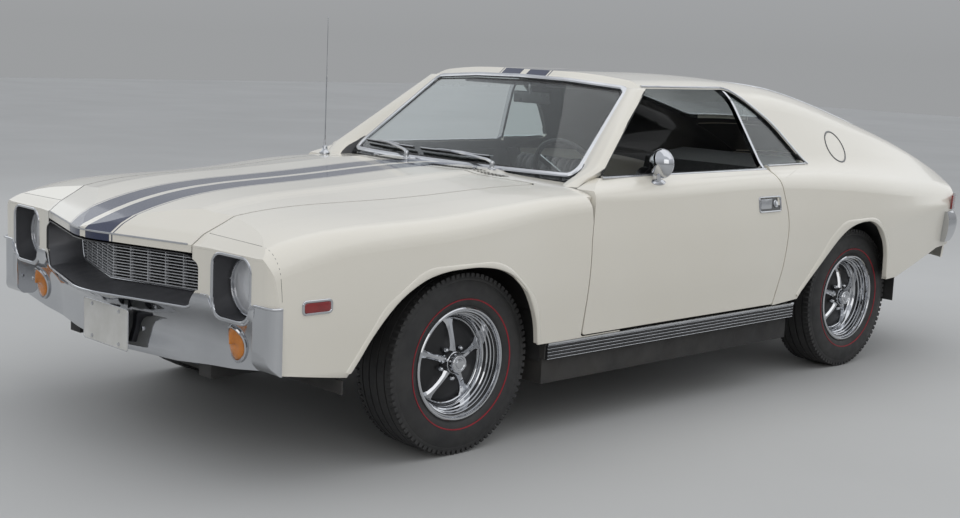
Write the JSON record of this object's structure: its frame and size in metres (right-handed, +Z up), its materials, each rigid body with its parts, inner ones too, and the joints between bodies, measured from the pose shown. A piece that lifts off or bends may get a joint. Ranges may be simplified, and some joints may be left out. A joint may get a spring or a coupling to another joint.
{
  "type": "two-seat fastback muscle car",
  "caption": "Two-seat fastback muscle car of the late 1960s in cream-white with dark-blue stripes, with opening doors, hood and trunk lid, and steered front wheels.",
  "frame": {"origin": "on the ground below the middle of the car", "axes": "+X towards the nose, +Y to the left side, +Z up"},
  "size_m": [4.501, 1.8106, 1.4999],
  "materials": {
    "body_paint": "glossy cream-white paint with two dark-blue stripes",
    "underbody_black": "satin black underbody paint",
    "chrome_trim": "polished chrome",
    "clear_glass": "clear glass",
    "grille_black": "matte black with bright bars",
    "amber_lens": "amber lens",
    "red_lens": "red lens",
    "black_rubber": "matte black rubber",
    "tyre_rubber": "matte black with a thin red line",
    "wheel_chrome": "chrome with black pockets",
    "cast_engine": "plain cast iron",
    "exhaust_steel": "dull steel",
    "black_vinyl": "black vinyl",
    "steering_black": "black rim with bright spokes",
    "plate_white": "plain white, blank"
  },
  "bodies": {
    "body": {"antenna": "chrome_trim", "console": "black_vinyl", "cowl_panel": "body_paint", "dashboard": "black_vinyl", "deck_panel": "body_paint", "door_frames": "underbody_black", "engine": "cast_engine", "exhaust": "exhaust_steel", "fender_left": "body_paint", "fender_right": "body_paint", "front_bumper": "chrome_trim", "front_suspension": "underbody_black", "fuel_tank": "exhaust_steel", "grille": "grille_black", "headlamp_bezels": "chrome_trim", "headlamps": "clear_glass", "mud_flaps": "black_rubber", "nose_panel": "body_paint", "number_plate": "plate_white", "quarter_panel_left": "body_paint", "quarter_panel_right": "body_paint", "quarter_windows": "clear_glass", "rear_axle": "underbody_black", "rear_bumper": "chrome_trim", "rear_shelf": "black_vinyl", "rear_window": "clear_glass", "rocker_mouldings": "chrome_trim", "roof_panel": "body_paint", "seat_left": "black_vinyl", "seat_right": "black_vinyl", "side_markers": "red_lens", "steering_wheel": "steering_black", "tail_lamps": "red_lens", "tail_panel": "body_paint", "turn_signals": "amber_lens", "underbody": "underbody_black", "wheelhouses": "underbody_black", "window_uprights": "chrome_trim", "windshield": "clear_glass", "wipers": "black_rubber"},
    "hood_lid": {"hood": "body_paint"},
    "trunk": {"trunk_lid": "body_paint"},
    "left_door": {"door_left": "body_paint", "door_glass_left": "clear_glass", "door_handle_left": "chrome_trim", "door_mirror": "chrome_trim"},
    "right_door": {"door_right": "body_paint", "door_glass_right": "clear_glass", "door_handle_right": "chrome_trim"},
    "left_knuckle": {"knuckle_left": "underbody_black"},
    "right_knuckle": {"knuckle_right": "underbody_black"},
    "steering_rod": {"steering_linkage": "underbody_black"},
    "front_left_wheel": {"wheel_front_left": "wheel_chrome", "tyre_front_left": "tyre_rubber"},
    "front_right_wheel": {"wheel_front_right": "wheel_chrome", "tyre_front_right": "tyre_rubber"},
    "rear_left_wheel": {"wheel_rear_left": "wheel_chrome", "tyre_rear_left": "tyre_rubber"},
    "rear_right_wheel": {"wheel_rear_right": "wheel_chrome", "tyre_rear_right": "tyre_rubber"}
  },
  "joints": [
    {"name": "hood_hinge", "type": "hinge", "parent": "body", "child": "hood_lid", "pos_m": [0.739, 0, 0.931], "axis": [0, -1, 0], "range_deg": [0, 50]},
    {"name": "trunk_hinge", "type": "hinge", "parent": "body", "child": "trunk", "pos_m": [-1.733, 0, 1.069], "axis": [0, 1, 0], "range_deg": [0, 60]},
    {"name": "left_door_hinge", "type": "hinge", "parent": "body", "child": "left_door", "pos_m": [0.65, 0.885, 0.6], "axis": [0, 0, -1], "range_deg": [0, 65]},
    {"name": "right_door_hinge", "type": "hinge", "parent": "body", "child": "right_door", "pos_m": [0.65, -0.885, 0.6], "axis": [0, 0, 1], "range_deg": [0, 65]},
    {"name": "left_steering", "type": "hinge", "parent": "body", "child": "left_knuckle", "pos_m": [1.27, 0.665, 0.321], "axis": [0, 0, 1], "range_deg": [-30, 30]},
    {"name": "right_steering", "type": "hinge", "parent": "body", "child": "right_knuckle", "pos_m": [1.27, -0.665, 0.321], "axis": [0, 0, 1], "range_deg": [-30, 30]},
    {"name": "steering_rod_slide", "type": "slide", "parent": "body", "child": "steering_rod", "axis": [0, 1, 0], "range_m": [-0.068, 0.068]},
    {"name": "front_left_spin", "type": "hinge", "parent": "left_knuckle", "child": "front_left_wheel", "pos_m": [1.27, 0.741, 0.321], "axis": [0, 1, 0], "continuous": true},
    {"name": "front_right_spin", "type": "hinge", "parent": "right_knuckle", "child": "front_right_wheel", "pos_m": [1.27, -0.741, 0.321], "axis": [0, 1, 0], "continuous": true},
    {"name": "rear_left_spin", "type": "hinge", "parent": "body", "child": "rear_left_wheel", "pos_m": [-1.194, 0.724, 0.321], "axis": [0, 1, 0], "continuous": true},
    {"name": "rear_right_spin", "type": "hinge", "parent": "body", "child": "rear_right_wheel", "pos_m": [-1.194, -0.724, 0.321], "axis": [0, 1, 0], "continuous": true}
  ],
  "couplings": [
    {"joint": "right_steering", "follows": "left_steering", "ratio": 1},
    {"joint": "steering_rod_slide", "follows": "left_steering", "m_per_rad": -0.127}
  ]
}
